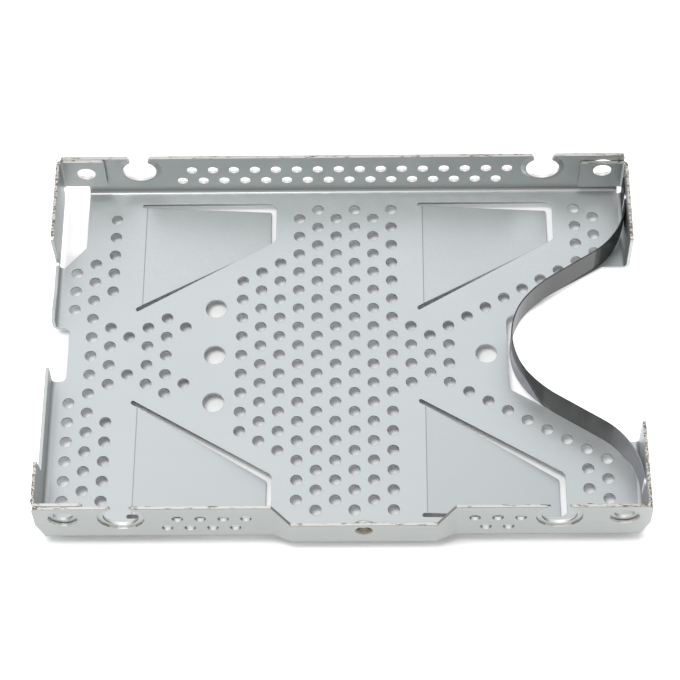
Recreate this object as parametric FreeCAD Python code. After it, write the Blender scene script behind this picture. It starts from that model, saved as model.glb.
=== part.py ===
import FreeCAD, Part
import math
import os

from FreeCAD import Vector

# Folded steel tray for one 2.5 inch drive, with a film pull strap.
# The origin is on the top face of the base, midway between the drive's side screws.
# +X runs along the tray to the finger cut-out, +Y to the rear wall, +Z up.
# All sizes are in millimetres.

# Drive that the tray takes
drive_width = 69.85
drive_screw_spacing = 76.6
drive_side_clearance = 1.575

# Sheet and its bends
sheet = 0.6
bend_inside = 0.8
corner_bend_inside = 0.5
lap_clearance = 0.1

# Sides of the holes that no screw seats in, and the largest corner drawn with two chords
base_perforation_sides = 8
wall_perforation_sides = 6
plain_hole_sides = 16
two_chord_round = 0.6

# Height of the long walls, and what is lower by how much
wall_height = 11.0
side_wall_drop = 1.6
side_wall_end_drop = 1.0
left_low_height = 5.3
left_lip_height = 2.2
left_lip_end_height = 3.0

# From the drive's end screws to the side walls' outer faces, and the long walls' ends from those faces
left_end = 15.5
right_end = 16.1
rear_wall_left_inset = 0.6
rear_wall_right_inset = 0.7
front_wall_left_inset = 0.2
front_wall_right_inset = 0.05
long_wall_taper_height = 5.0
long_wall_taper_round = 2.0
wall_corner_round = 0.6

# Where the side walls start and stop along Y
left_notch_rear = 6.0
left_notch_front = 5.5
left_notch_depth = 3.1
left_notch_round = 1.0
left_rear_wall_start = 18.5
left_front_wall_start = 27.7
step_run = 1.1
cutout_mouth_half = 18.65

# Window in the rear left corner
window_width = 5.3
window_front = 19.1
window_chamfer = 4.6
window_wall_height = 2.1

# Finger cut-out at the right, measured from the side wall's outer face
cutout_depth = 23.6
cutout_root_round = 1.5
cutout_shoulder_inset = 5.1
brace_slope = 0.6

# Return tabs that lap the inside of the long walls
tab_length = 9.0
left_tab_foot = 3.0
right_tab_foot = 1.6
left_screw_inset = 5.3
right_screw_inset = 4.75
corner_screw_drop = 3.9
corner_hole = 5.2
corner_tab_hole = 3.5

# Open screw notches in the long walls
notch_drop = 3.6
notch_hole = 6.3
notch_throat = 3.4
notch_lip_round = 0.5
notch_ring = 8.2
notch_rim = 6.7
notch_ring_depth = 0.3

# Joggled middle of the front wall, with a drawn collar for one M3 screw
joggle_centre = 4.2
joggle_half = 16.1
joggle_run = 3.3
joggle_offset = 1.4
joggle_drop = 4.1
joggle_root = 0.6
collar_drop = 2.0
collar_outer = 3.9
collar_bore = 2.5
collar_mouth = 3.1
collar_reach = 0.5

# Leaf springs, bent down from the base: the left fold's place from the left screws, and the pitch of the two
leaf_fold_inset = 1.0
leaf_pitch = 52.8
leaf_length = 23.8
leaf_edge_margin = 3.0
leaf_root_front = 10.95
leaf_drop = 2.0
leaf_slot = 0.8
leaf_end_slot = 1.05
leaf_slot_relief = 0.9
leaf_diagonal_relief = 1.2
leaf_slot_round = 0.3
leaf_opening_round = 1.2

# Locating holes in the base: three in a row across it, and one before the cut-out
base_hole = 4.0
base_hole_row = -23.4
base_hole_pitch = 10.0
cutout_hole_inset = 3.9

# Base perforations on a staggered grid: column number to rows counted from the middle, first and last
perforation = 2.15
perforation_margin = 1.0
column_pitch = 3.5
row_pitch = 2.0
grid_origin = -8.0
columns = {
    -12: [(5, 15)],
    -11: [(0, 14)],
    -10: [(1, 3), (7, 15)],
    -9: [(2, 2)],
    -8: [(1, 3)],
    -7: [(0, 4)],
    -6: [(3, 3)],
    -3: [(0, 8)],
    -2: [(1, 9)],
    -1: [(0, 10)],
    6: [(1, 3)],
    7: [(0, 2)],
    8: [(1, 3)],
    15: [(10, 16)],
    16: [(11, 15)],
}
middle_columns = range(0, 6)
middle_rows = 16
brace_columns = range(9, 15)
brace_first_row = 4

# Perforations in the long walls: two staggered rows
wall_perforation = 2.0
wall_pitch = 4.0
wall_row_count = 16
wall_row_start = -30.4
wall_row_lower = 3.6
wall_row_margin = 3.0

# Film pull strap, standing on edge
strap_thickness = 0.25
strap_height = 6.7
strap_tip_radius = 13.0
strap_tip_turn = 40.0
strap_flank_radius = 22.0
strap_flank_turn = 17.0
strap_straight = 9.45
strap_wall_radius = 14.4
strap_end_clearance = 0.8
strap_lift_start = 21.0
strap_lift_end = 24.0

# Sizes that follow from the ones above
bend_outside = bend_inside + sheet
wall_inner = drive_width / 2 + drive_side_clearance
wall_outer = wall_inner + sheet
left_reach = drive_screw_spacing / 2 + left_end
right_reach = drive_screw_spacing / 2 + right_end
bend_y = wall_inner - bend_inside
left_inner = -left_reach + sheet
left_bend = -left_reach + bend_outside
right_inner = right_reach - sheet
right_bend = right_reach - bend_outside
rear_wall_left = rear_wall_left_inset - left_reach
rear_wall_right = right_reach - rear_wall_right_inset
front_wall_left = front_wall_left_inset - left_reach
front_wall_right = right_reach - front_wall_right_inset
tab_outer = wall_inner - lap_clearance
corner_bend_y = tab_outer - corner_bend_inside - sheet
side_wall_height = wall_height - side_wall_drop
corner_screw_height = wall_height - corner_screw_drop
notch_height = wall_height - notch_drop
joggle_height = wall_height - joggle_drop
collar_height = joggle_height - collar_drop
cutout_root = right_reach - cutout_depth
cutout_shoulder = right_reach - cutout_shoulder_inset
cutout_root_half = cutout_mouth_half - brace_slope * (cutout_shoulder - cutout_root)
window_right = window_width - left_reach
leaf_rear = bend_y - leaf_edge_margin
joggle_start = joggle_centre - joggle_half
joggle_end = joggle_centre + joggle_half
left_screw = -left_reach + left_screw_inset
right_screw = right_reach - right_screw_inset
notch_places = (-drive_screw_spacing / 2, drive_screw_spacing / 2)
leaf_folds = (notch_places[0] + leaf_fold_inset, notch_places[0] + leaf_fold_inset + leaf_pitch)
base_holes = [(base_hole_row, row * base_hole_pitch) for row in (-1, 0, 1)]
base_holes.append((cutout_root - cutout_hole_inset, 0))


def on_base(u, v):
    return Vector(u, v, -sheet)


def on_long_wall(u, v):
    return Vector(u, wall_inner, v)


def on_side_wall(x):
    return lambda u, v: Vector(x, u, v)


# Closed outline through corners given as (u, v) or (u, v, radius)
def outline(corners, place):
    rounded = []
    for index, corner in enumerate(corners):
        here = Vector(corner[0], corner[1], 0)
        radius = corner[2] if len(corner) > 2 else 0
        before = Vector(*corners[index - 1][:2], 0)
        after = Vector(*corners[(index + 1) % len(corners)][:2], 0)
        back = (before - here).normalize()
        ahead = (after - here).normalize()
        half_angle = back.getAngle(ahead) / 2
        setback = radius / math.tan(half_angle)
        inward = (back + ahead).normalize() if radius else back
        middle = here + inward * (radius / math.sin(half_angle) - radius)
        rounded.append((here + back * setback, middle, here + ahead * setback, radius))
    edges = []
    for index, (start, middle, end, radius) in enumerate(rounded):
        last_end = rounded[index - 1][2]
        edges.append(Part.makeLine(place(*last_end[:2]), place(*start[:2])))
        if radius > two_chord_round:
            edges.append(Part.Arc(place(*start[:2]), place(*middle[:2]), place(*end[:2])).toShape())
        elif radius:
            edges.append(Part.makeLine(place(*start[:2]), place(*middle[:2])))
            edges.append(Part.makeLine(place(*middle[:2]), place(*end[:2])))
    return Part.Wire(edges)


def circle(u, v, diameter, place, normal):
    return Part.Wire(Part.Circle(place(u, v), normal, diameter / 2).toShape())


# Hole with a few flat sides, which enclose the area of the round one, the lowest side lying flat
def sided_hole(u, v, diameter, sides, place):
    step = 2 * math.pi / sides
    first_angle = (step - math.pi) / 2
    reach = diameter / 2 * math.sqrt(step / math.sin(step))
    corners = []
    for side in range(sides):
        angle = side * step + first_angle
        corners.append((u + reach * math.cos(angle), v + reach * math.sin(angle)))
    return outline(corners, place)


# Flat piece of sheet: an outline less its holes, made thick along a vector
def plate(wires, thickness):
    return Part.makeFace(wires, "Part::FaceMakerBullseye").extrude(thickness)


# Quarter bend about a centre, from one direction to another, along a run
def bend(centre, first, second, inside, run):
    outside = inside + sheet
    middle = (first + second).normalize()
    outer = Part.Arc(centre + first * outside, centre + middle * outside, centre + second * outside)
    inner = Part.Arc(centre + second * inside, centre + middle * inside, centre + first * inside)
    edges = [
        outer.toShape(),
        Part.makeLine(centre + second * outside, centre + second * inside),
        inner.toShape(),
        Part.makeLine(centre + first * inside, centre + first * outside),
    ]
    return Part.Face(Part.Wire(edges)).extrude(run)


def to_front(shape):
    return shape.mirror(Vector(0, 0, 0), Vector(0, 1, 0))


def join(shapes):
    return shapes[0].fuse(shapes[1:]).removeSplitter()


# Front edge of a rear leaf at a distance x past its fold
def leaf_front(x):
    return leaf_root_front + brace_slope * x


# Slots around a rear leaf, as one outline with the leaf's own place left open
def leaf_opening(fold):
    slope_slot = leaf_slot * math.hypot(1, brace_slope)
    root = fold - leaf_slot_relief
    diagonal_root = fold - leaf_diagonal_relief
    end = fold + leaf_length + leaf_end_slot
    front_at_root = leaf_front(-leaf_diagonal_relief)
    return [
        (root, leaf_rear + leaf_slot, leaf_slot_round),
        (end, leaf_rear + leaf_slot, leaf_opening_round),
        (end, leaf_front(end - fold) - slope_slot, leaf_opening_round),
        (diagonal_root, front_at_root - slope_slot, leaf_slot_round),
        (diagonal_root, front_at_root, leaf_slot_round),
        (fold, leaf_front(0)),
        (fold, leaf_rear),
        (root, leaf_rear, leaf_slot_round),
    ]


# Rear leaf, which slopes down from its fold
def leaf(fold):
    profile = [
        Vector(fold, 0, 0),
        Vector(fold + leaf_length, 0, -leaf_drop),
        Vector(fold + leaf_length, 0, -leaf_drop - sheet),
        Vector(fold, 0, -sheet),
        Vector(fold, 0, 0),
    ]
    sloped = Part.Face(Part.makePolygon(profile)).extrude(Vector(0, wall_inner, 0))
    shape = [
        (fold, leaf_rear),
        (fold + leaf_length, leaf_rear, leaf_slot_round),
        (fold + leaf_length, leaf_front(leaf_length), leaf_slot_round),
        (fold, leaf_front(0)),
    ]
    depth = leaf_drop + 2 * sheet
    column = plate([outline(shape, lambda u, v: Vector(u, v, -depth))], Vector(0, 0, depth + sheet))
    return sloped.common(column)


# The grid's places that keep their margin to the outlines of the base
def perforation_places(outlines):
    grid = dict(columns)
    for column in middle_columns:
        grid[column] = [((column + 1) % 2, middle_rows)]
    for column in brace_columns:
        row = brace_first_row + column - brace_columns[0]
        grid[column] = [(row, row)]
    face = Part.makeFace(outlines, "Part::FaceMakerBullseye")
    edges = Part.Compound(outlines)
    places = []
    for column, spans in grid.items():
        x = grid_origin + column * column_pitch
        for first, last in spans:
            for row in range(first, last + 1, 2):
                for y in sorted({row * row_pitch, -row * row_pitch}):
                    if clear(on_base(x, y), face, edges):
                        places.append((x, y))
    return places


# True where a perforation lies in a face and keeps its margin to the edges
def clear(centre, face, edges):
    inside = face.isInside(centre, perforation_margin / 10, True)
    return inside and Part.Vertex(centre).distToShape(edges)[0] > perforation / 2 + perforation_margin


# Flat base between the bends, with its window, cut-outs and holes
def base():
    left = left_bend
    notch_x = -left_reach + left_notch_depth
    corners = [
        (window_right, bend_y),
        (right_bend, bend_y),
        (right_bend, cutout_mouth_half),
        (cutout_shoulder, cutout_mouth_half, wall_corner_round),
        (cutout_root, cutout_root_half, cutout_root_round),
        (cutout_root, -cutout_root_half, cutout_root_round),
        (cutout_shoulder, -cutout_mouth_half, wall_corner_round),
        (right_bend, -cutout_mouth_half),
        (right_bend, -bend_y),
        (joggle_end, -bend_y),
        (joggle_end, -bend_y + joggle_root),
        (joggle_start, -bend_y + joggle_root),
        (joggle_start, -bend_y),
        (left, -bend_y),
        (left, -left_notch_front),
        (notch_x, -left_notch_front, left_notch_round),
        (notch_x, left_notch_rear, left_notch_round),
        (left, left_notch_rear),
        (left, window_front),
        (window_right, window_front + window_chamfer),
    ]
    wires = [outline(corners, on_base)]
    for x, y in base_holes:
        wires.append(sided_hole(x, y, base_hole, plain_hole_sides, on_base))
    for fold in leaf_folds:
        opening = leaf_opening(fold)
        wires.append(outline(opening, on_base))
        wires.append(outline([(x, -y, *rest) for x, y, *rest in opening], on_base))
    for x, y in perforation_places(list(wires)):
        wires.append(sided_hole(x, y, perforation, base_perforation_sides, on_base))
    return plate(wires, Vector(0, 0, sheet))


# Perforations and corner holes of a long wall between its two ends
def wall_holes(left, right):
    rows = ((wall_row_start, wall_row_lower), (wall_row_start + wall_pitch / 2, corner_screw_height))
    notch_clear = (notch_ring + wall_perforation) / 2 + perforation_margin
    holes = []
    for start, height in rows:
        for step in range(wall_row_count):
            x = start + step * wall_pitch
            between = left + wall_row_margin < x < right - wall_row_margin
            if between and all(abs(x - place) > notch_clear for place in notch_places):
                holes.append(sided_hole(x, height, wall_perforation, wall_perforation_sides, on_long_wall))
    for x in (left_screw, right_screw):
        if left < x < right:
            holes.append(sided_hole(x, corner_screw_height, corner_hole, plain_hole_sides, on_long_wall))
    return holes


# Keyhole that a screw or its grommet drops into from above
def notch_tool(x):
    half = notch_throat / 2
    above = wall_height + notch_throat
    corners = [
        (x - half, notch_height),
        (x - half, wall_height, notch_lip_round),
        (x - notch_throat, wall_height),
        (x - notch_throat, above),
        (x + notch_throat, above),
        (x + notch_throat, wall_height),
        (x + half, wall_height, notch_lip_round),
        (x + half, notch_height),
    ]
    back = Vector(0, 1, 0)
    start = Vector(0, -sheet, 0)
    throat = plate([outline(corners, on_long_wall)], back * 3 * sheet)
    hole = plate([circle(x, notch_height, notch_hole, on_long_wall, back)], back * 3 * sheet)
    return throat.fuse(hole).translated(start)


# Solid with flat sides between two outlines that have as many corners each
def frustum(first, second):
    starts = [vertex.Point for vertex in first.OrderedVertexes]
    ends = [vertex.Point for vertex in second.OrderedVertexes]
    faces = [Part.Face(first), Part.Face(second)]
    for index, start in enumerate(starts):
        corners = [starts[index - 1], start, ends[index], ends[index - 1], starts[index - 1]]
        faces.append(Part.Face(Part.makePolygon(corners)))
    return Part.makeSolid(Part.makeShell(faces))


# Wall with its notches, each in a ring pressed in from outside, which rises in a low cone towards the drive
def with_notches(wall, places):
    def on_rim(u, v):
        return Vector(u, wall_inner - notch_ring_depth, v)

    for x in places:
        ring = sided_hole(x, notch_height, notch_ring, plain_hole_sides, on_long_wall)
        rim = sided_hole(x, notch_height, notch_rim, plain_hole_sides, on_rim)
        below_top = Part.makeBox(2 * notch_ring, wall_outer, wall_height, Vector(x - notch_ring, 0, 0))
        raised = frustum(ring, rim).common(below_top)
        recess = plate([ring], Vector(0, sheet, 0)).translated(Vector(0, sheet - notch_ring_depth, 0))
        wall = wall.cut(recess).fuse(raised).cut(notch_tool(x))
    return wall


# Bend below a long wall from one x to another
def long_bend(left, right):
    centre = Vector(left, bend_y, bend_inside)
    return bend(centre, Vector(0, 0, -1), Vector(0, 1, 0), bend_inside, Vector(right - left, 0, 0))


# Rear wall and its bend, which stop at the window
def rear_wall():
    corners = [
        (window_right, bend_inside),
        (right_bend, bend_inside),
        (rear_wall_right, long_wall_taper_height, long_wall_taper_round),
        (rear_wall_right, wall_height, wall_corner_round),
        (rear_wall_left, wall_height, wall_corner_round),
        (rear_wall_left, long_wall_taper_height),
        (left_bend, window_wall_height),
        (window_right, window_wall_height),
    ]
    wires = [outline(corners, on_long_wall)]
    wires += wall_holes(rear_wall_left, rear_wall_right)
    wall = plate(wires, Vector(0, sheet, 0))
    return [with_notches(wall, notch_places), long_bend(window_right, right_bend)]


# Front wall either side of the joggle, drawn at the rear and mirrored
def front_walls():
    left_corners = [
        (left_bend, bend_inside),
        (joggle_start, bend_inside),
        (joggle_start, wall_height),
        (front_wall_left, wall_height, wall_corner_round),
        (front_wall_left, long_wall_taper_height, long_wall_taper_round),
    ]
    right_corners = [
        (joggle_end, bend_inside),
        (right_bend, bend_inside),
        (front_wall_right, long_wall_taper_height, long_wall_taper_round),
        (front_wall_right, wall_height, wall_corner_round),
        (joggle_end, wall_height),
    ]
    left_wires = [outline(left_corners, on_long_wall)]
    left_wires += wall_holes(front_wall_left, joggle_start)
    right_wires = [outline(right_corners, on_long_wall)]
    right_wires += wall_holes(joggle_end, front_wall_right)
    thick = Vector(0, sheet, 0)
    pieces = [
        with_notches(plate(left_wires, thick), notch_places[:1]),
        with_notches(plate(right_wires, thick), notch_places[1:]),
        long_bend(left_bend, joggle_start),
        long_bend(joggle_end, right_bend),
    ]
    return [to_front(piece) for piece in pieces]


# Closed section of base edge, bend and wall at one place along the front wall
def joggle_section(x, offset, height):
    def at(y, z):
        return Vector(x, -y, z)

    root = bend_y - joggle_root
    centre = bend_y + offset
    inner = wall_inner + offset
    outer = wall_outer + offset
    slant = math.sqrt(0.5)
    inner_arc = Part.Arc(
        at(centre, 0),
        at(centre + bend_inside * slant, bend_inside * (1 - slant)),
        at(inner, bend_inside),
    )
    outer_arc = Part.Arc(
        at(outer, bend_inside),
        at(centre + bend_outside * slant, bend_inside - bend_outside * slant),
        at(centre, -sheet),
    )
    edges = [
        Part.makeLine(at(root, 0), at(centre, 0)),
        inner_arc.toShape(),
        Part.makeLine(at(inner, bend_inside), at(inner, height)),
        Part.makeLine(at(inner, height), at(outer, height)),
        Part.makeLine(at(outer, height), at(outer, bend_inside)),
        outer_arc.toShape(),
        Part.makeLine(at(centre, -sheet), at(root, -sheet)),
        Part.makeLine(at(root, -sheet), at(root, 0)),
    ]
    return Part.Wire(edges)


# Middle of the front wall, lofted out and back, with the drawn collar that its screw bites in
def joggle():
    inner_start = joggle_start + joggle_run
    inner_end = joggle_end - joggle_run
    stations = [
        (joggle_start, 0, wall_height),
        (inner_start, joggle_offset, joggle_height),
        (inner_end, joggle_offset, joggle_height),
        (joggle_end, 0, wall_height),
    ]
    sections = [joggle_section(*station) for station in stations]
    pieces = [Part.makeLoft(list(pair), True, True) for pair in zip(sections, sections[1:])]
    body = join(pieces)
    inward = Vector(0, 1, 0)
    face = Vector(joggle_centre, -wall_outer - joggle_offset, collar_height)
    collar = Part.makeCylinder(collar_outer / 2, sheet + collar_reach, face, inward)
    bore = Part.makeCylinder(collar_bore / 2, 2 * (sheet + collar_reach), face, inward)
    depth = (collar_mouth - collar_bore) / 2
    mouth = Part.makeCone(collar_mouth / 2, collar_bore / 2, depth, face, inward)
    return body.fuse(collar).cut(bore.fuse(mouth))


# Left side walls either side of the low notch, as (y, z), and their bends
def left_walls():
    rear = [
        (left_notch_rear, bend_inside),
        (corner_bend_y, bend_inside),
        (corner_bend_y, wall_height),
        (left_rear_wall_start, wall_height, wall_corner_round),
        (left_rear_wall_start + wall_corner_round, left_lip_height, wall_corner_round),
        (2 * left_notch_rear, left_lip_height),
        (left_notch_rear + 2 * step_run, left_lip_end_height),
        (left_notch_rear, left_lip_end_height),
    ]
    front = [
        (-left_notch_front, bend_inside),
        (-left_notch_front, left_low_height),
        (step_run - left_front_wall_start, left_low_height),
        (-left_front_wall_start, wall_height),
        (-corner_bend_y, wall_height),
        (-corner_bend_y, bend_inside),
    ]
    thick = Vector(sheet, 0, 0)
    walls = [plate([outline(shape, on_side_wall(-left_reach))], thick) for shape in (rear, front)]
    spans = ((left_notch_rear, window_front), (-corner_bend_y, -left_notch_front))
    for start, end in spans:
        centre = Vector(left_bend, start, bend_inside)
        run = Vector(0, end - start, 0)
        walls.append(bend(centre, Vector(0, 0, -1), Vector(-1, 0, 0), bend_inside, run))
    return walls


# Right side walls either side of the cut-out, as (y, z), and their bends
def right_walls():
    rear = [
        (cutout_mouth_half, bend_inside),
        (corner_bend_y, bend_inside),
        (corner_bend_y, side_wall_height),
        (cutout_mouth_half, side_wall_height, wall_corner_round),
    ]
    front = [
        (-cutout_mouth_half, bend_inside),
        (-cutout_mouth_half, side_wall_height - side_wall_end_drop, wall_corner_round),
        (-corner_bend_y, side_wall_height),
        (-corner_bend_y, bend_inside),
    ]
    thick = Vector(sheet, 0, 0)
    walls = [plate([outline(shape, on_side_wall(right_inner))], thick) for shape in (rear, front)]
    for start in (cutout_mouth_half, -corner_bend_y):
        centre = Vector(right_bend, start, bend_inside)
        run = Vector(0, corner_bend_y - cutout_mouth_half, 0)
        walls.append(bend(centre, Vector(0, 0, -1), Vector(1, 0, 0), bend_inside, run))
    return walls


# Return tab at a rear corner: side is -1 at the left and 1 at the right
def return_tab(side, reach, foot, top, screw):
    rise = Vector(0, 0, top - foot)
    bend_x = side * (reach - corner_bend_inside - sheet)
    centre = Vector(bend_x, corner_bend_y, foot)
    corner = bend(centre, Vector(side, 0, 0), Vector(0, 1, 0), corner_bend_inside, rise)
    end = side * (reach - tab_length)

    def on_tab(u, v):
        return Vector(u, tab_outer - sheet, v)

    corners = [
        (bend_x, foot),
        (end, foot, wall_corner_round),
        (end, top, wall_corner_round),
        (bend_x, top),
    ]
    back = Vector(0, 1, 0)
    hole = circle(screw, corner_screw_height, corner_tab_hole, on_tab, back)
    return corner.fuse(plate([outline(corners, on_tab), hole], back * sheet))


def return_tabs():
    left = return_tab(-1, left_reach, left_tab_foot, wall_height, left_screw)
    right = return_tab(1, right_reach, right_tab_foot, side_wall_height, right_screw)
    return [left, right, to_front(left), to_front(right)]


def tray():
    leaves = [leaf(fold) for fold in leaf_folds]
    leaves += [to_front(piece) for piece in leaves]
    pieces = [base(), joggle()] + leaves + rear_wall() + front_walls()
    pieces += left_walls() + right_walls() + return_tabs()
    return join(pieces)


# Strap outline: one half walks from the tip to the wall in arcs and straights, then is mirrored
def strap():
    turn_sum = math.radians(strap_tip_turn + strap_flank_turn)
    tip_turn = math.radians(strap_tip_turn)
    reach = (
        strap_tip_radius * (1 - math.cos(tip_turn))
        + strap_flank_radius * (math.cos(tip_turn) - math.cos(turn_sum))
        + strap_straight * math.sin(turn_sum)
        + strap_wall_radius * (1 - math.cos(turn_sum))
    )
    half = strap_thickness / 2
    place = Vector(right_inner - half - reach, 0, 0)
    heading = math.radians(90)
    runs = [
        (strap_tip_radius, -tip_turn),
        (strap_flank_radius, tip_turn - turn_sum),
        (strap_straight, 0),
        (strap_wall_radius, turn_sum),
    ]
    pieces = []
    for size, turn in runs:
        piece, place, heading = strap_run(place, heading, size, turn, half)
        pieces.append(piece)
    last = corner_bend_y - strap_end_clearance - place.y
    piece, place, heading = strap_run(place, heading, last, 0, half)
    pieces.append(piece)
    pieces += [to_front(piece) for piece in pieces]
    lift = strap_lift()
    return join(pieces).cut(lift.fuse(to_front(lift)))


# What is trimmed from under the strap's rear end, so that it clears the side wall's bend
def strap_lift():
    corners = [
        (strap_lift_start, 0),
        (strap_lift_end, bend_inside),
        (bend_y, bend_inside),
        (bend_y, -sheet),
        (strap_lift_start, -sheet),
    ]
    return plate([outline(corners, on_side_wall(cutout_root))], Vector(right_reach - cutout_root, 0, 0))


# One run of the strap: an arc of a radius and a turn, or a straight of a length where the turn is nought
def strap_run(start, heading, size, turn, half):
    def across(angle, offset):
        return Vector(-math.sin(angle) * offset, math.cos(angle) * offset, 0)

    if turn:
        side = math.copysign(1, turn)
        centre = start + across(heading, side * size)

        def at(share, offset):
            angle = heading + share * turn
            return centre - across(angle, side * size - offset)

        left = Part.Arc(at(0, half), at(0.5, half), at(1, half)).toShape()
        right = Part.Arc(at(1, -half), at(0.5, -half), at(0, -half)).toShape()
        end = at(1, 0)
    else:
        ahead = Vector(math.cos(heading), math.sin(heading), 0) * size

        def at(share, offset):
            return start + ahead * share + across(heading, offset)

        left = Part.makeLine(at(0, half), at(1, half))
        right = Part.makeLine(at(1, -half), at(0, -half))
        end = start + ahead
    edges = [
        left,
        Part.makeLine(at(1, half), at(1, -half)),
        right,
        Part.makeLine(at(0, -half), at(0, half)),
    ]
    face = Part.Face(Part.Wire(edges))
    return face.extrude(Vector(0, 0, strap_height)), end, heading + turn


os.makedirs("parts", exist_ok=True)
for name, shape in (("tray", tray()), ("pull_strap", strap())):
    solids = shape.Solids
    print(name, "solids", len(solids), "valid", shape.isValid(), "volume", round(shape.Volume, 2))
    shape.exportStep("parts/" + name + ".step")
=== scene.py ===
import math

import bmesh
import bpy
from mathutils import Matrix, Vector
from mathutils.kdtree import KDTree


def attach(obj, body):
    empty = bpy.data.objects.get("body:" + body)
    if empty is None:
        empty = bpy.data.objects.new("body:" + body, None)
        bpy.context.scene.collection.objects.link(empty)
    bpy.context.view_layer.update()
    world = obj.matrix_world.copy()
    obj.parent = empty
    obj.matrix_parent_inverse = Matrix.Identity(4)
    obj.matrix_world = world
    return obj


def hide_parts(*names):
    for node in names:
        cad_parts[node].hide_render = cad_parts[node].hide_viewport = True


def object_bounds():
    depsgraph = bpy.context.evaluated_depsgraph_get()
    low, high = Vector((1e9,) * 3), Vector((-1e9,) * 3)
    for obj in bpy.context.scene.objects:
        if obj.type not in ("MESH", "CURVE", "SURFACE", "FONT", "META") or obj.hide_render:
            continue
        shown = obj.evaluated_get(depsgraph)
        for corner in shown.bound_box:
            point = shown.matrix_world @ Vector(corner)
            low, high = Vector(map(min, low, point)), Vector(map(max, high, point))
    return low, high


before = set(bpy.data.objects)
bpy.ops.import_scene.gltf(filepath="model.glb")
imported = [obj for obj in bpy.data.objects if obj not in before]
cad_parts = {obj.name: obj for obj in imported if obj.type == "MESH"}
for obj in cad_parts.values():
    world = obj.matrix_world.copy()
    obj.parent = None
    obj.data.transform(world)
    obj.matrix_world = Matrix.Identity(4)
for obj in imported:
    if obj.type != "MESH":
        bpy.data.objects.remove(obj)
MM = 0.001


# Lengths given in millimetres, in metres
def mm(*lengths):
    return tuple(length * MM for length in lengths)


# Camera: its place, where it looks and its right-hand direction, as fitted to the base's grid of holes
CAMERA_PLACE = Vector((6.82, -214.29, 373.87)) * MM
CAMERA_FORWARD = Vector((-0.01623, 0.50248, -0.86444))
CAMERA_RIGHT = Vector((0.99985, 0.00262, -0.01726))
PHOTO_SIDE = 680
FOCAL_PIXELS = 2327.1
SENSOR = 36.0
CLIP_START = 0.01

# Light: where the key comes from, its distance and size, and the dome's bright part, which the base mirrors
KEY_FROM = Vector((-0.20, -0.12, 0.97))
KEY_DISTANCE = 0.7
KEY_SIZE = 0.22
KEY_POWER = 2.4
DOME_TOWARDS = Vector((0.05, 0.68, 0.73))
DOME_LIMITS = (0.85, 0.98)
DOME_STRENGTH = 0.93
DOME_PATCH = 0.58
DOME_TINT = (0.97, 1.0, 1.05, 1)

# Colours, linear
WHITE = (1, 1, 1, 1)
# Base tones with painted shade toward the front and painted light toward the rear
ZINC_FRONT_SHADED = (0.415, 0.432, 0.434, 1)
ZINC_REAR_LIT = (0.500, 0.520, 0.522, 1)
ZINC_WALL = (0.440, 0.462, 0.458, 1)
ZINC_STAIN = (0.415, 0.433, 0.433, 1)
# Painted shade for the front wall's outer face, the long bends and the leaf folds
SHEET_PAINTED_SHADE = (0.20, 0.205, 0.20, 1)
CUT_PALE = (0.50, 0.49, 0.46, 1)
CUT_BROWN = (0.14, 0.115, 0.085, 1)
# Painted highlight for the wall holes' lower rims, and painted shade for the front wall holes' sides
HOLE_RIM_HIGHLIGHT = (0.74, 0.73, 0.70, 1)
HOLE_SIDE_SHADE = (0.20, 0.18, 0.15, 1)
# Painted shade inside the threaded collar
THREAD_SHADE = (0.26, 0.235, 0.19, 1)
FILM = (0.020, 0.020, 0.021, 1)
FILM_DUST = (0.05, 0.05, 0.052, 1)
FILM_WARM = (0.030, 0.028, 0.024, 1)
# Painted reflection on the film
FILM_REFLECTION = (0.31, 0.315, 0.34, 1)
FILM_GLINT = (0.95, 0.96, 0.98, 1)
FLOOR_WHITE = (0.93, 0.93, 0.93, 1)

# Perforations of the base and the walls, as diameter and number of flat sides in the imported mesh, and the
# margins and angles by which their rims, their walls and the flat sheet around them are told
PERFORATIONS = ((2.15 * MM, 8), (2.0 * MM, 6))
RIM_MARGIN = 0.002 * MM
WELD = 0.0001 * MM
SQUARE_ANGLES = (1.2, 1.9)
FLAT_ANGLE = 0.01
FLAT_NORMAL = 0.99999
FLAT_WAYS = ((0, 1, 0), (0, -1, 0), (0, 0, 1), (0, 0, -1))
WALL_TURN = 0.5
VOLUME_MARGIN = 0.001
KEPT_NORMAL = "kept_normal"

# Thread of the front screw: its axis, size, start and length, and its ridge
THREAD_X = 4.2 * MM
THREAD_Z = 4.9 * MM
THREAD_RADIUS = 1.25 * MM
THREAD_PITCH = 0.5 * MM
THREAD_START = -38.3 * MM
THREAD_LENGTH = 1.3 * MM
THREAD_STEPS = 32
THREAD_TAPER = 8
THREAD_SEAT = 0.01 * MM
THREAD_DEPTH = 0.12 * MM
THREAD_WIDTH = 0.6

# Zinc surface: its noises as scale, detail and roughness, their limits and shares, bumps and rounded edges
GRAIN = (2600, 2.0, 0.5)
STAINS = (55, 4.0, 0.5)
ROLLING = ((60, 2400, 2400), 3.0, 0.5)
STREAKS = ((500, 2600, 2600), 4.0, 0.65)
CHIPS = (2300, 3.0, 0.6)
STAIN_LIMITS = (0.36, 0.62)
STAIN_SHARE = 0.45
GRAIN_IN_TONE = 0.5
ROLLED_IN_BUMP = 0.6
ROLLED_LIMITS = (0.3, 0.7)
ZINC_ROUGHNESS = (0.36, 0.45)
ZINC_METALLIC = 0.85
ZINC_BUMP = 0.12
ZINC_BUMP_HEIGHT = 0.03 * MM
EDGE_RADIUS = 0.10 * MM
EDGE_SAMPLES = 4

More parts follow.
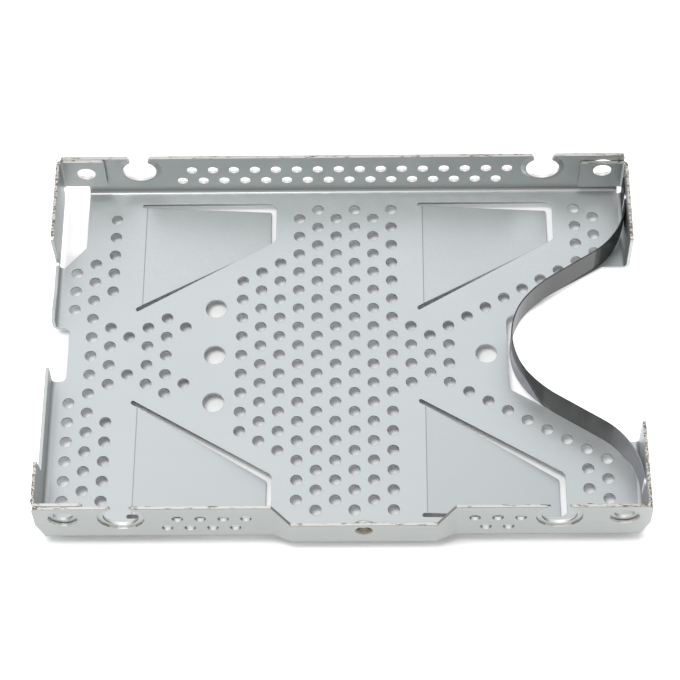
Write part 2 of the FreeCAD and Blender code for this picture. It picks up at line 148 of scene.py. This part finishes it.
# Places on the sheet where its tone changes, each over a short length
BASE_DEPTH = mm(-36.0, 33.0)
WALL_FOOT = mm(0.5, 1.0)
FRONT_OUTER = mm(-36.9, -36.7)
FRONT_INNER = mm(-36.6, -36.5)
BEND_START = mm(35.7, 35.9)
BEND_TOP = mm(0.6, 0.8)
LEAF_FOLDS = mm(-37.3, 15.5)
LEAF_ROOT = 10.95 * MM
LEAF_REAR = 32.7 * MM
FOLD_WIDTH = mm(0.05, 0.13)
COLLAR_REACH = mm(1.50, 1.58)
COLLAR_DEPTH = mm(-36.3, -36.2)
HOLES_FOOT = mm(1.6, 1.8)
HOLES_DEPTH = mm(35.6, 35.7)
HOLES_END = mm(43.0, 44.0)
WALL_TOP = mm(8.2, 8.4)
PAD_FACE = mm(-37.3, -37.2)
PAD_TOP = mm(6.3, 6.5)
SIDE_WALLS = mm(52.0, 52.6)
WALL_BURR = mm(36.98, 37.04)
PAD_BURR = mm(38.38, 38.44)

# Ways that faces look, as limits of one part of the normal, and how strongly each tone shows
FACES_FRONT = (-0.9, -0.6)
FACES_UP = (0.6, 0.8)
RIM_FACES_UP = (0.2, 0.5)
FACES_ALONG = (0.42, 0.7)
OUTER_SHADE_SHARE = 0.35
BEND_SHADE_SHARE = 0.65
FOLD_SHADE_SHARE = 0.75
HOLE_SIDE_SHADE_SHARE = 0.8
BURR_SHARE = 0.8
RUST_STREAKS = (0.55, 0.63)
RUST_CHIPS = (0.48, 0.56)

# Film: its noises, where its painted reflection, scuffs, shade, painted glint and the painted shade along the
# reflection's edge lie, and how strong they are
DUST = (3000, 2.0, 0.5)
SCUFFS = ((1500, 1500, 60), 3.0, 0.5)
DUST_TONE = (0.45, 0.8)
DUST_SHINE = (0.3, 0.8)
SCUFF_TONE = (0.4, 0.6)
REFLECTION_SLANT = 0.73
FRONT_HALF = mm(-1.5, -0.5)
REFLECTION_START = mm(-11.2, -10.8)
REFLECTION_TOP = mm(3.6, 4.8)
REFLECTION_LEFT = 0.15
NEAR_WALL = mm(48.5, 51.5)
NEAR_WALL_REFLECTION = 0.6
SCUFF_END = mm(-12.6, -11.2)
SHADE_START = mm(47.3, 47.9)
GLINT_START = mm(29.3, 29.8)
GLINT_END = mm(30.0, 30.8)
GLINT_FOOT = mm(1.5, 3.0)
# Painted shade along the reflection's edge, on the rear half and on the scuffs
REFLECTION_EDGE_START = mm(-11.8, -10.8)
REFLECTION_EDGE_SHADE = 0.5
REAR_SHADE = 0.22
SHADED_END_SHADE = 0.48
SCUFF_SHADE = 0.22
SCUFF_SHADE_END = mm(44.0, 50.0)
SCUFF_BUMP = 0.5
SCUFF_BUMP_HEIGHT = 0.04 * MM
SCUFF_ROUGHNESS = 0.2
FILM_ROUGHNESS = (0.16, 0.24)
FILM_IOR = 1.65
FILM_SPECULAR = 0.34

# Floor: its size, and its glow outside the tray, in the finger cut-out and in the corner window
FLOOR_SIDE = 3.0
FLOOR_ROUGHNESS = 0.9
FLOOR_GLOW = 0.28
CUTOUT_GLOW = 0.6
WINDOW_GLOW = 0.15
GLOW_EDGE = mm(-1.5, 0.0)
CUTOUT_EDGE = mm(0.0, 1.5)
WINDOW_RIGHT = mm(-49.2, -48.7)
WINDOW_FRONT = mm(23.0, 24.5)
STRAP_MIDDLE = 1.5 * MM
STRAP_TIP = 31.2 * MM
STRAP_RISES = (mm(2.0, 9.0, 3.6), mm(9.0, 21.0, 16.0), mm(21.0, 26.0, 3.0))


# Node that is made in a tree, with values for its inputs by name or number
def node(tree, kind, inputs=(), **settings):
    made = tree.nodes.new(kind)
    for name, value in settings.items():
        setattr(made, name, value)
    for name, value in dict(inputs).items():
        socket = made.inputs[name]
        if isinstance(value, bpy.types.NodeSocket):
            tree.links.new(value, socket)
        else:
            socket.default_value = value
    return made


def maths(tree, operation, first, second=0.0, clamp=False):
    inputs = {0: first, 1: second}
    return node(tree, "ShaderNodeMath", inputs, operation=operation, use_clamp=clamp).outputs[0]


def product(tree, *values):
    result = values[0]
    for value in values[1:]:
        result = maths(tree, "MULTIPLY", result, value)
    return result


# Sum of two values, the first with its share and the second with the rest
def weighted(tree, first, second, share):
    return maths(tree, "ADD", product(tree, first, share), product(tree, second, 1.0 - share))


def mix_colour(tree, share, first, second):
    made = node(tree, "ShaderNodeMix", data_type="RGBA")
    values = {0: share, 6: first, 7: second}
    for index, value in values.items():
        if isinstance(value, bpy.types.NodeSocket):
            tree.links.new(value, made.inputs[index])
        else:
            made.inputs[index].default_value = value
    return made.outputs[2]


# Value that runs from one number to another as the input crosses its limits
def rise(tree, value, limits, start=0.0, end=1.0):
    inputs = {"Value": value, "From Min": limits[0], "From Max": limits[1], "To Min": start, "To Max": end}
    return node(tree, "ShaderNodeMapRange", inputs, clamp=True).outputs["Result"]


def fall(tree, value, limits, start=1.0):
    return rise(tree, value, limits, start, 0.0)


def noise(tree, place, scale, detail, roughness):
    inputs = {"Vector": place, "Scale": scale, "Detail": detail, "Roughness": roughness}
    return node(tree, "ShaderNodeTexNoise", inputs).outputs["Fac"]


# Noise that is drawn out along the axes with the smaller scales
def stretched_noise(tree, place, scales, detail, roughness):
    inputs = {"Vector": place, "Scale": scales}
    stretched = node(tree, "ShaderNodeMapping", inputs).outputs["Vector"]
    return noise(tree, stretched, 1.0, detail, roughness)


# Place on the object, and its three parts
def object_place(tree):
    place = node(tree, "ShaderNodeTexCoord").outputs["Object"]
    parts = node(tree, "ShaderNodeSeparateXYZ", {"Vector": place})
    return place, *(parts.outputs[axis] for axis in "XYZ")


def new_material(name):
    material = bpy.data.materials.new(name)
    material.use_nodes = True
    tree = material.node_tree
    tree.nodes.clear()
    return material, tree


def finish_material(tree, shader):
    node(tree, "ShaderNodeOutputMaterial", {"Surface": shader})


# Zinc-plated sheet: fine grain, rolling marks, faint stains, painted light and shade across the base, painted
# shade on the front wall's outer face, in the bends, along the leaf folds, in the collar and on the front wall
# holes' sides, painted highlights on the wall holes' lower rims, pale cut edges with rust
def zinc_plate():
    material, tree = new_material("zinc_plated_steel")
    place, x, y, z = object_place(tree)
    along = maths(tree, "ABSOLUTE", x)
    across = maths(tree, "ABSOLUTE", y)
    geometry = node(tree, "ShaderNodeNewGeometry")
    facing = node(tree, "ShaderNodeSeparateXYZ", {"Vector": geometry.outputs["Normal"]}).outputs

    grain = noise(tree, place, *GRAIN)
    stains = noise(tree, place, *STAINS)
    rolled = stretched_noise(tree, place, *ROLLING)
    tone = weighted(tree, grain, stains, GRAIN_IN_TONE)
    # Painted light and shade: the base is darker toward the front and lighter toward the rear
    plain = mix_colour(tree, rise(tree, y, BASE_DEPTH), ZINC_FRONT_SHADED, ZINC_REAR_LIT)
    plain = mix_colour(tree, rise(tree, z, WALL_FOOT), plain, ZINC_WALL)
    colour = mix_colour(tree, fall(tree, tone, STAIN_LIMITS, STAIN_SHARE), plain, ZINC_STAIN)

    # Painted shade on the outer face of the front wall, and painted shade inside the long bends
    outer_shade = product(tree, fall(tree, facing["Y"], FACES_FRONT), fall(tree, y, FRONT_OUTER), OUTER_SHADE_SHARE)
    colour = mix_colour(tree, outer_shade, colour, SHEET_PAINTED_SHADE)
    bend_shade = product(tree, rise(tree, across, BEND_START), fall(tree, z, BEND_TOP), BEND_SHADE_SHARE)
    colour = mix_colour(tree, bend_shade, colour, SHEET_PAINTED_SHADE)

    # Painted shade along the fold lines of the leaf springs
    fold_shade = 0.0
    for fold in LEAF_FOLDS:
        off = maths(tree, "ABSOLUTE", maths(tree, "SUBTRACT", x, fold))
        fold_shade = maths(tree, "MAXIMUM", fold_shade, fall(tree, off, FOLD_WIDTH))
    beyond_root = maths(tree, "GREATER_THAN", across, LEAF_ROOT)
    before_rear = maths(tree, "LESS_THAN", across, LEAF_REAR)
    fold_shade = product(tree, fold_shade, beyond_root, before_rear, FOLD_SHADE_SHARE)
    colour = mix_colour(tree, fold_shade, colour, SHEET_PAINTED_SHADE)

    # Painted shade inside the threaded collar, in the bare thread's brownish tone
    reach_x = maths(tree, "SUBTRACT", x, THREAD_X)
    reach_z = maths(tree, "SUBTRACT", z, THREAD_Z)
    squares = maths(tree, "ADD", product(tree, reach_x, reach_x), product(tree, reach_z, reach_z))
    reach = maths(tree, "SQRT", squares)
    bored = product(tree, fall(tree, reach, COLLAR_REACH), fall(tree, y, COLLAR_DEPTH))
    colour = mix_colour(tree, bored, colour, THREAD_SHADE)

    # Painted highlights on the upward-facing lower rims of the holes in the long walls, and painted shade on
    # the sides of those in the front wall
    above_foot = rise(tree, z, HOLES_FOOT)
    rim_highlight = product(tree, rise(tree, facing["Z"], RIM_FACES_UP), above_foot, rise(tree, across, HOLES_DEPTH))
    rim_highlight = product(tree, rim_highlight, maths(tree, "SUBTRACT", 1.0, bored))
    colour = mix_colour(tree, rim_highlight, colour, HOLE_RIM_HIGHLIGHT)
    # Painted shade on the sideways-facing sides of the front wall's holes
    sides = rise(tree, maths(tree, "ABSOLUTE", facing["X"]), FACES_ALONG)
    sides = product(tree, sides, fall(tree, y, FRONT_INNER), above_foot, fall(tree, along, HOLES_END))
    colour = mix_colour(tree, product(tree, sides, HOLE_SIDE_SHADE_SHARE), colour, HOLE_SIDE_SHADE)

    # Cut edges on top of the walls: pale, with brown streaks, most of them on the side walls
    pad = product(tree, fall(tree, y, PAD_FACE), rise(tree, z, PAD_TOP))
    high = maths(tree, "MAXIMUM", rise(tree, z, WALL_TOP), pad)
    top = product(tree, rise(tree, facing["Z"], FACES_UP), high)
    streaks = stretched_noise(tree, place, *STREAKS)
    chips = noise(tree, place, *CHIPS)
    chipped = product(tree, rise(tree, along, SIDE_WALLS), rise(tree, chips, RUST_CHIPS))
    rust = maths(tree, "MAXIMUM", rise(tree, streaks, RUST_STREAKS), chipped)
    burr = product(tree, rise(tree, across, WALL_BURR), maths(tree, "SUBTRACT", 1.0, pad))
    burr = maths(tree, "MAXIMUM", burr, rise(tree, across, PAD_BURR))
    rust = maths(tree, "MAXIMUM", rust, product(tree, burr, BURR_SHARE))
    colour = mix_colour(tree, top, colour, mix_colour(tree, rust, CUT_PALE, CUT_BROWN))

    round_edges = node(tree, "ShaderNodeBevel", {"Radius": EDGE_RADIUS}, samples=EDGE_SAMPLES)
    bump = node(tree, "ShaderNodeBump", {
        "Height": weighted(tree, rolled, grain, ROLLED_IN_BUMP),
        "Strength": ZINC_BUMP,
        "Distance": ZINC_BUMP_HEIGHT,
        "Normal": round_edges.outputs["Normal"],
    })
    shader = node(tree, "ShaderNodeBsdfPrincipled", {
        "Base Color": colour,
        "Metallic": ZINC_METALLIC,
        "Roughness": rise(tree, rolled, ROLLED_LIMITS, *ZINC_ROUGHNESS),
        "Normal": bump.outputs["Normal"],
    })
    finish_material(tree, shader.outputs["BSDF"])
    return material


# Dark film: glossy, warm and finely scuffed on its front half, with a painted reflection near the tip and near
# the front wall, painted shade on its rear half and along the reflection's edge, and a painted glint near both
# ends
def dark_film():
    material, tree = new_material("dark_film")
    place, x, y, z = object_place(tree)
    across = maths(tree, "ABSOLUTE", y)
    dust = noise(tree, place, *DUST)
    scuffs = stretched_noise(tree, place, *SCUFFS)
    # Painted reflection: bluish and pale on the front half near the tip, and near the wall
    slant = maths(tree, "SUBTRACT", y, product(tree, z, REFLECTION_SLANT))
    front = fall(tree, y, FRONT_HALF)
    reflection = product(tree, front, rise(tree, slant, REFLECTION_START), rise(tree, z, REFLECTION_TOP, 1.0, REFLECTION_LEFT))
    near_wall = product(tree, front, rise(tree, x, NEAR_WALL, 0.0, NEAR_WALL_REFLECTION))
    reflection = maths(tree, "MAXIMUM", reflection, near_wall)
    scuffed = product(tree, front, fall(tree, slant, SCUFF_END))
    glint = product(tree, rise(tree, across, GLINT_START), fall(tree, across, GLINT_END))
    glint = product(tree, glint, rise(tree, z, GLINT_FOOT))

    colour = mix_colour(tree, rise(tree, dust, DUST_TONE), FILM, FILM_DUST)
    warm = mix_colour(tree, rise(tree, scuffs, SCUFF_TONE), FILM, FILM_WARM)
    colour = mix_colour(tree, scuffed, colour, warm)
    colour = mix_colour(tree, reflection, colour, FILM_REFLECTION)
    colour = mix_colour(tree, glint, colour, FILM_GLINT)

    # Painted shade, mixed in as a black diffuse: on the rear half, more so where shaded, on the scuffs away
    # from the wall, and along the painted reflection's edge
    painted_shade = maths(tree, "ADD", product(tree, rise(tree, x, SHADE_START), SHADED_END_SHADE), REAR_SHADE)
    painted_shade = product(tree, painted_shade, maths(tree, "SUBTRACT", 1.0, front))
    scuff_shade = product(tree, scuffed, fall(tree, x, SCUFF_SHADE_END, SCUFF_SHADE))
    painted_shade = maths(tree, "ADD", painted_shade, scuff_shade)
    clear = maths(tree, "SUBTRACT", 1.0, reflection, clamp=True)
    reflection_edge = product(tree, front, rise(tree, y, REFLECTION_EDGE_START), clear, REFLECTION_EDGE_SHADE)
    painted_shade = maths(tree, "MAXIMUM", painted_shade, reflection_edge)
    painted_shade = product(tree, painted_shade, maths(tree, "SUBTRACT", 1.0, glint))

    roughness = rise(tree, dust, DUST_SHINE, *FILM_ROUGHNESS)
    bump = node(tree, "ShaderNodeBump", {
        "Height": scuffs,
        "Strength": product(tree, scuffed, SCUFF_BUMP),
        "Distance": SCUFF_BUMP_HEIGHT,
    })
    shader = node(tree, "ShaderNodeBsdfPrincipled", {
        "Base Color": colour,
        "Roughness": maths(tree, "ADD", roughness, product(tree, scuffed, SCUFF_ROUGHNESS)),
        "IOR": FILM_IOR,
        "Specular IOR Level": FILM_SPECULAR,
        "Normal": bump.outputs["Normal"],
    })
    # Black diffuse that paints shade into the film
    shade_shader = node(tree, "ShaderNodeBsdfDiffuse", {"Color": FILM})
    mixed = node(tree, "ShaderNodeMixShader", {0: painted_shade, 1: shader.outputs["BSDF"], 2: shade_shader.outputs["BSDF"]})
    finish_material(tree, mixed.outputs[0])
    return material


# White floor with a painted glow outside the tray's outline and in its cut-out and window, which washes out the
# tray's shadows there
def white_floor(low, high):
    material, tree = new_material("white_floor")
    _, x, y, _ = object_place(tree)
    outside = 0.0
    for part, first, last in ((x, low[0], high[0]), (y, low[1], high[1])):
        for side, edge in ((-1, first), (1, last)):
            past = product(tree, maths(tree, "SUBTRACT", part, edge), side)
            outside = maths(tree, "MAXIMUM", outside, rise(tree, past, GLOW_EDGE))

    # Outline of the strap in the cut-out: the glow lies to its right
    across = maths(tree, "ABSOLUTE", maths(tree, "SUBTRACT", y, STRAP_MIDDLE))
    curve = STRAP_TIP
    for first, last, height in STRAP_RISES:
        curve = maths(tree, "ADD", curve, rise(tree, across, (first, last), 0.0, height))
    cutout = rise(tree, maths(tree, "SUBTRACT", x, curve), CUTOUT_EDGE)
    window = product(tree, fall(tree, x, WINDOW_RIGHT), rise(tree, y, WINDOW_FRONT))
    inside = maths(tree, "MAXIMUM", product(tree, cutout, CUTOUT_GLOW), product(tree, window, WINDOW_GLOW))
    shader = node(tree, "ShaderNodeBsdfPrincipled", {
        "Base Color": FLOOR_WHITE,
        "Roughness": FLOOR_ROUGHNESS,
        "Emission Color": WHITE,
        "Emission Strength": maths(tree, "MAXIMUM", product(tree, outside, FLOOR_GLOW), inside),
    })
    finish_material(tree, shader.outputs["BSDF"])
    return material


def dress(shown, material):
    shown.data.materials.clear()
    shown.data.materials.append(material)


def add_object(name, data):
    made = bpy.data.objects.new(name, data)
    bpy.context.scene.collection.objects.link(made)
    return made


# Radius of a flat-sided circle's corners, with the area of the round one
def corner_radius(diameter, sides):
    step = 2 * math.pi / sides
    return diameter / 2 * math.sqrt(step / math.sin(step))


# Closed rings of equal edges around the perforations, each with the hole's diameter and number of sides
def perforation_rings(sheet):
    rings = []
    for diameter, sides in PERFORATIONS:
        length = 2 * corner_radius(diameter, sides) * math.sin(math.pi / sides)
        rims = dict.fromkeys(
            edge for edge in sheet.edges
            if abs(edge.calc_length() - length) < RIM_MARGIN
            and SQUARE_ANGLES[0] < edge.calc_face_angle(0.0) < SQUARE_ANGLES[1]
        )
        while rims:
            ring = [rims.popitem()[0]]
            for edge in ring:
                near = [other for vertex in edge.verts for other in vertex.link_edges if other in rims]
                for other in near:
                    del rims[other]
                ring.extend(near)
            if len(ring) == sides:
                rings.append((ring, diameter, sides))
    return rings


# Gives each side of every perforation a point in its middle, and returns the circles for the holes' points
def split_rims(sheet):
    circles = []
    walls = set()
    rims = []
    for ring, diameter, sides in perforation_rings(sheet):
        middles = [(edge.verts[0].co + edge.verts[1].co) / 2 for edge in ring]
        centre = sum(middles, Vector()) / sides
        corners = dict.fromkeys(vertex for edge in ring for vertex in edge.verts)
        points = [vertex.co.copy() for vertex in corners] + middles
        circles.append((centre, points, corner_radius(diameter, 2 * sides)))
        rims.extend(ring)
        for edge, middle in zip(ring, middles):
            inward = (centre - middle).normalized()
            walls.update(face for face in edge.link_faces if abs(face.normal.dot(inward)) > WALL_TURN)
    diagonals = [
        edge for edge in sheet.edges
        if edge.calc_face_angle(1.0) < FLAT_ANGLE and all(face in walls for face in edge.link_faces)
    ]
    bmesh.ops.dissolve_edges(sheet, edges=diagonals)
    bmesh.ops.subdivide_edges(sheet, edges=rims, cuts=1, use_grid_fill=True)
    return circles


# New places of the rims' vertices, and the holes' wall faces, whose normals now look to the hole's middle
def circle_places(sheet, circles, normals):
    tree = KDTree(len(sheet.verts))
    for index, vertex in enumerate(sheet.verts):
        tree.insert(vertex.co, index)
    tree.balance()
    sheet.verts.ensure_lookup_table()
    places = {}
    walls = set()
    for centre, points, radius in circles:
        for point in points:
            vertex = sheet.verts[tree.find(point)[1]]
            inward = (centre - point).normalized()
            places[vertex] = centre - inward * radius
            for loop in vertex.link_loops:
                if abs(loop.face.normal.dot(inward)) > WALL_TURN:
                    loop[normals] = inward
                    walls.add(loop.face)
    return places, walls


# Flat faces of the sheet without the holes' walls, by the way they look and their height along it
def flat_levels(sheet, walls):
    levels = {}
    for face in sheet.faces:
        for way in FLAT_WAYS:
            if face not in walls and face.normal.dot(way) > FLAT_NORMAL:
                height = round(face.calc_center_median().dot(way) / MM, 2)
                levels.setdefault((way, height), []).append(face)
    return levels


# Fills one flat level of the sheet afresh between its outlines
def refill(sheet, flats, way, normals):
    inside = set(flats)
    edges = dict.fromkeys(edge for face in flats for edge in face.edges)
    outline = [edge for edge in edges if sum(face in inside for face in edge.link_faces) == 1]
    inner = [edge for edge in edges if sum(face in inside for face in edge.link_faces) > 1]
    bmesh.ops.delete(sheet, geom=flats, context="FACES_ONLY")
    bmesh.ops.delete(sheet, geom=inner, context="EDGES")
    filled = bmesh.ops.triangle_fill(sheet, use_beauty=True, edges=outline, normal=way)["geom"]
    for face in [item for item in filled if isinstance(item, bmesh.types.BMFace)]:
        face.normal_update()
        if face.normal.dot(way) < 0:
            face.normal_flip()
        for loop in face.loops:
            loop[normals] = way


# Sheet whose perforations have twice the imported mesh's sides, or None if it isn't closed or its volume is off
def rounded_sheet(source):
    mesh = source.data.copy()
    kept = mesh.attributes.new(KEPT_NORMAL, "FLOAT_VECTOR", "CORNER")
    kept.data.foreach_set("vector", [part for corner in mesh.corner_normals for part in corner.vector])
    sheet = bmesh.new()
    sheet.from_mesh(mesh)
    bmesh.ops.remove_doubles(sheet, verts=sheet.verts, dist=WELD)
    packed_volume = sheet.calc_volume()
    circles = split_rims(sheet)
    sheet.normal_update()
    normals = sheet.loops.layers.float_vector[KEPT_NORMAL]
    places, walls = circle_places(sheet, circles, normals)
    levels = flat_levels(sheet, walls)
    for vertex, place in places.items():
        vertex.co = place
    for (way, _), flats in levels.items():
        if any(vertex in places for face in flats for vertex in face.verts):
            refill(sheet, flats, way, normals)
    closed = all(edge.is_manifold for edge in sheet.edges)
    same_volume = abs(sheet.calc_volume() / packed_volume - 1) < VOLUME_MARGIN
    sheet.to_mesh(mesh)
    sheet.free()
    if not (closed and same_volume):
        return None
    mesh.polygons.foreach_set("use_smooth", [True] * len(mesh.polygons))
    kept = mesh.attributes[KEPT_NORMAL]
    mesh.normals_split_custom_set([value.vector.normalized() for value in kept.data])
    mesh.attributes.remove(mesh.attributes[KEPT_NORMAL])
    return add_object("perforated_sheet", mesh)


# Thread of the front screw: one fine ridge that winds round inside the collar
def make_thread():
    count = int(THREAD_STEPS * THREAD_LENGTH / THREAD_PITCH)
    points = []
    for index in range(count + 1):
        angle = 2 * math.pi * index / THREAD_STEPS
        along = THREAD_START + THREAD_PITCH * index / THREAD_STEPS
        grown = min(1.0, index / THREAD_TAPER, (count - index) / THREAD_TAPER)
        for side, depth in ((-0.5, 0.0), (0.0, THREAD_DEPTH * grown), (0.5, 0.0)):
            radius = THREAD_RADIUS + THREAD_SEAT - depth
            points.append((
                THREAD_X + radius * math.cos(angle),
                along + side * THREAD_WIDTH * THREAD_PITCH,
                THREAD_Z + radius * math.sin(angle),
            ))
    faces = []
    for index in range(count):
        for side in range(2):
            first = 3 * index + side
            faces.append((first, first + 3, first + 4, first + 1))
    mesh = bpy.data.meshes.new("front_thread")
    mesh.from_pydata(points, [], faces)
    mesh.update()
    return add_object("front_thread", mesh)


def make_floor(low, high):
    bpy.ops.mesh.primitive_plane_add(size=FLOOR_SIDE, location=(0, 0, low[2]))
    floor = bpy.context.object
    floor.name = "floor"
    floor.data.materials.append(white_floor(low, high))


def make_camera():
    data = bpy.data.cameras.new("photo_camera")
    data.sensor_fit = "HORIZONTAL"
    data.sensor_width = SENSOR
    data.lens = FOCAL_PIXELS * SENSOR / PHOTO_SIDE
    data.clip_start = CLIP_START
    camera = add_object("photo_camera", data)
    forward = CAMERA_FORWARD.normalized()
    right = CAMERA_RIGHT.normalized()
    up = right.cross(forward).normalized()
    turn = Matrix((right, up, -forward)).transposed()
    camera.matrix_world = Matrix.Translation(CAMERA_PLACE) @ turn.to_4x4()
    bpy.context.scene.camera = camera


# Square key light that looks at the middle of the base
def make_key_light():
    data = bpy.data.lights.new("key_light", "AREA")
    data.shape = "RECTANGLE"
    data.size = KEY_SIZE
    data.size_y = KEY_SIZE
    data.energy = KEY_POWER
    light = add_object("key_light", data)
    light.location = KEY_FROM.normalized() * KEY_DISTANCE
    light.rotation_euler = (-KEY_FROM).to_track_quat("-Z", "Y").to_euler()


# Soft white surroundings, brightest where the flat base mirrors them to the camera
def make_surroundings():
    world = bpy.data.worlds.new("studio")
    bpy.context.scene.world = world
    world.use_nodes = True
    tree = world.node_tree
    tree.nodes.clear()
    towards = node(tree, "ShaderNodeTexCoord").outputs["Generated"]
    inputs = {0: towards, 1: DOME_TOWARDS.normalized()}
    facing = node(tree, "ShaderNodeVectorMath", inputs, operation="DOT_PRODUCT").outputs["Value"]
    patch = rise(tree, facing, DOME_LIMITS)
    background = node(tree, "ShaderNodeBackground", {
        "Color": mix_colour(tree, patch, WHITE, DOME_TINT),
        "Strength": maths(tree, "ADD", product(tree, patch, DOME_PATCH), DOME_STRENGTH),
    })
    node(tree, "ShaderNodeOutputWorld", {"Surface": background.outputs[0]})


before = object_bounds()
zinc = zinc_plate()
rounded = rounded_sheet(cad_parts["tray"])
if rounded is None:
    dress(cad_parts["tray"], zinc)
else:
    dress(rounded, zinc)
    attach(rounded, "root")
    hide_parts("tray")
dress(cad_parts["pull_strap"], dark_film())
thread = make_thread()
dress(thread, zinc)
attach(thread, "root")
make_floor(*before)
make_camera()
make_surroundings()
make_key_light()
bpy.context.scene.view_settings.view_transform = "Standard"
